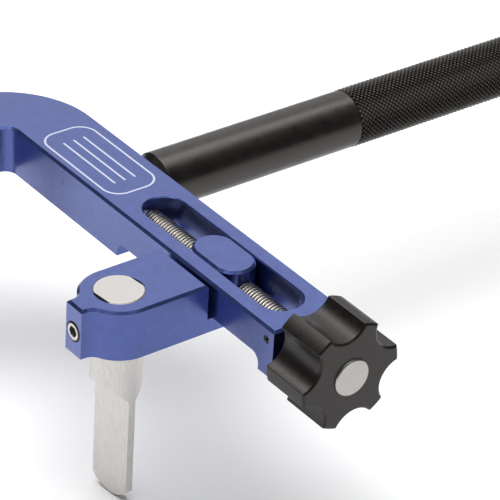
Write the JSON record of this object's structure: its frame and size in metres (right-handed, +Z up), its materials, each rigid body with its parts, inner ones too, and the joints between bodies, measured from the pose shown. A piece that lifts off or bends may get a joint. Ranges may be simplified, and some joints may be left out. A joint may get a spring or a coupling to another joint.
{
  "type": "adjustable holding wrench",
  "caption": "Adjustable holding wrench: slotted bent beam with a fixed blade, a screw-driven arm with a second blade, a star knob and a long knurled handle.",
  "frame": {"origin": "on the beam's flat underside, below the handle's axis and midway across the beam", "axes": "+X along the beam towards the knob, +Y out along the handle, +Z up from the underside to the top face; the blades point to -Z"},
  "size_m": [0.2259, 0.3114, 0.0987],
  "materials": {
    "blue_anodised": "satin blue anodised, machined",
    "blade_steel": "bright turned and milled",
    "screw_steel": "bright rolled thread",
    "set_screw_steel": "satin stainless",
    "black_knob": "satin black, moulded",
    "black_bar": "black oxide, satin",
    "bronze": "satin bronze"
  },
  "bodies": {
    "frame": {"beam": "blue_anodised", "handle_bar": "black_bar", "handle_stud": "screw_steel", "fixed_blade_set_screw": "set_screw_steel", "screw_retaining_pin": "blade_steel", "thrust_washer": "bronze"},
    "screw": {"lead_screw": "screw_steel", "knob": "black_knob"},
    "carriage": {"sliding_arm": "blue_anodised", "moving_blade_set_screw": "set_screw_steel"},
    "fixed_blade": {"fixed_blade": "blade_steel"},
    "moving_blade": {"moving_blade": "blade_steel"}
  },
  "joints": [
    {"name": "knob_turn", "type": "hinge", "parent": "frame", "child": "screw", "pos_m": [0, 0, 0.01], "axis": [1, 0, 0], "range_deg": [-5650, 6130]},
    {"name": "carriage_slide", "type": "slide", "parent": "frame", "child": "carriage", "axis": [1, 0, 0], "range_m": [-0.0255, 0.0235]},
    {"name": "fixed_blade_slide", "type": "slide", "parent": "frame", "child": "fixed_blade", "axis": [0, 0, 1], "range_m": [-0.006, 0.004]},
    {"name": "moving_blade_slide", "type": "slide", "parent": "carriage", "child": "moving_blade", "axis": [0, 0, 1], "range_m": [-0.006, 0.004]}
  ],
  "couplings": [
    {"joint": "knob_turn", "follows": "carriage_slide", "rad_per_m": -4188.8}
  ]
}
